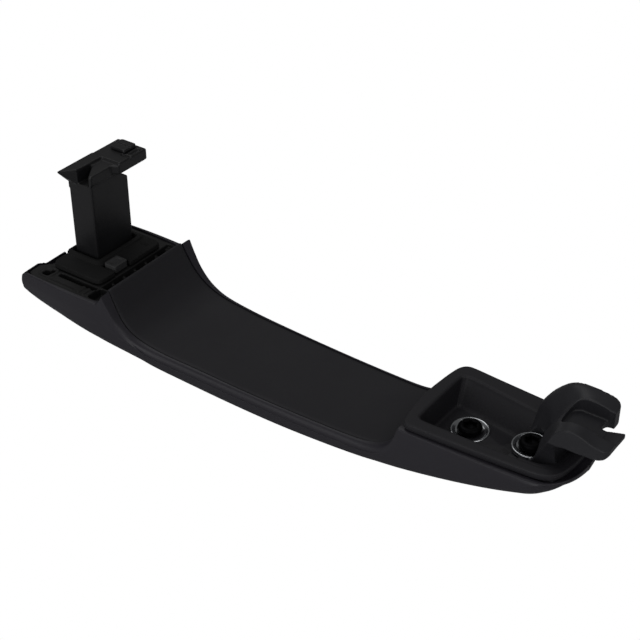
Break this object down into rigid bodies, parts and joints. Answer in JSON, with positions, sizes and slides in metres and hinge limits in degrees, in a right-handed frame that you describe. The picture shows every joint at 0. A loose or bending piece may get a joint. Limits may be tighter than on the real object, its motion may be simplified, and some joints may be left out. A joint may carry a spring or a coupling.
{
  "type": "car door handle",
  "caption": "Pull-type exterior car door handle: bowed grip with finger-side liner, T-headed actuating arm at one end and a forked pivot claw over a screw pocket at the other.",
  "frame": {"origin": "centre of the bounding box at its lowest face: the handle lies on its bowed outer face", "axes": "+X along the grip from the arm end to the claw end, +Y across the width, +Z from the outer face towards the door"},
  "size_m": [0.2187, 0.0482, 0.0623],
  "materials": {
    "satin_shell": "satin moulded-in black",
    "grained_liner": "fine spark-eroded grain",
    "carrier_nylon": "glass-filled nylon, matt",
    "seal_rubber": "moulded rubber, matt",
    "buffer_rubber": "moulded rubber, dusty grey",
    "arm_plastic": "semi-gloss acetal",
    "claw_plastic": "satin acetal, slightly blue grey",
    "zinc_plate": "bright zinc plate",
    "black_steel": "black phosphate",
    "brass": "knurled, plain",
    "spring_steel": "plain spring steel"
  },
  "bodies": {
    "grip": {"outer_shell": "satin_shell", "grip_liner": "grained_liner", "carrier_beam": "carrier_nylon", "foot_plate": "carrier_nylon", "foot_buffer": "buffer_rubber", "actuating_arm": "arm_plastic", "head_slider": "arm_plastic", "arm_screw_1": "black_steel", "arm_screw_2": "black_steel", "pivot_claw": "claw_plastic", "pocket_washer": "zinc_plate", "pocket_screw": "black_steel", "claw_washer": "zinc_plate", "claw_screw": "black_steel", "pocket_insert": "brass", "claw_insert": "brass", "liner_clip_1": "spring_steel", "liner_clip_2": "spring_steel", "liner_clip_3": "spring_steel", "liner_clip_4": "spring_steel"},
    "door_side": {"foot_seal_pad": "seal_rubber"}
  },
  "joints": [
    {"name": "grip_swing", "type": "hinge", "parent": "grip", "child": "door_side", "pos_m": [0.098, 0, 0.0327], "axis": [0, 1, 0], "range_deg": [0, 7]}
  ]
}
